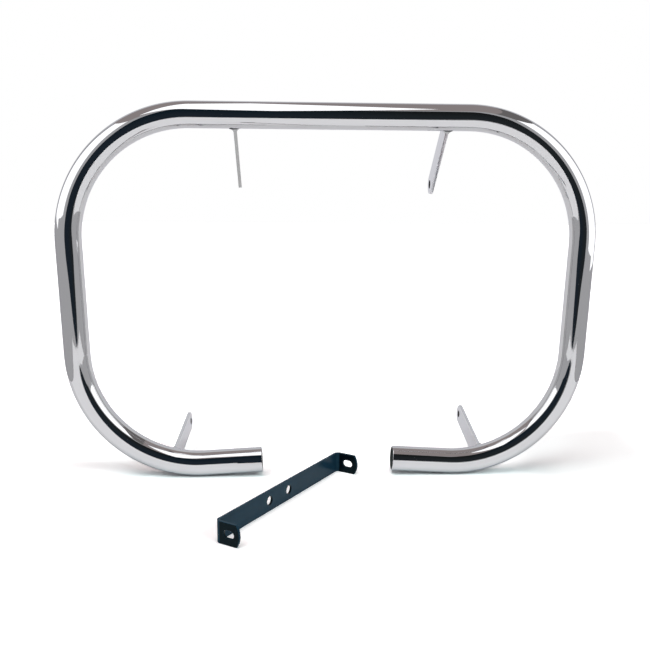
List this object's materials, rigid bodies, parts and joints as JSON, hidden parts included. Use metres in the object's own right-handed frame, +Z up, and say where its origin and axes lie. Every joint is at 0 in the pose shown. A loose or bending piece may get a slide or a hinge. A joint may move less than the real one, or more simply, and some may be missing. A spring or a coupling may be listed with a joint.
{
  "type": "motorcycle crash bars",
  "caption": "Chrome tube bent into a wide open-bottomed loop with flat welded bolt tabs reaching back from it, and a loose black U-shaped fitting bracket.",
  "frame": {"origin": "middle of the bounding box, at floor level", "axes": "+X along the width of the loop, to the right as pictured; +Y towards the back, the way the tabs reach; +Z up"},
  "size_m": [0.79, 0.4163, 0.5539],
  "materials": {
    "tube_chrome": "mirror-bright chrome plate on bent steel tube",
    "tab_chrome": "chrome plate on flat steel bar, a little less bright than the tube",
    "weld_chrome": "chrome plate over a weld bead",
    "bracket_coat": "satin blue-black powder coat on bent steel bar"
  },
  "bodies": {
    "root": {"tube": "tube_chrome", "tab_upper_left": "tab_chrome", "tab_upper_right": "tab_chrome", "tab_lower_left": "tab_chrome", "tab_lower_right": "tab_chrome", "weld_upper_left": "weld_chrome", "weld_upper_right": "weld_chrome", "weld_lower_left": "weld_chrome", "weld_lower_right": "weld_chrome", "bracket": "bracket_coat"}
  },
  "joints": []
}
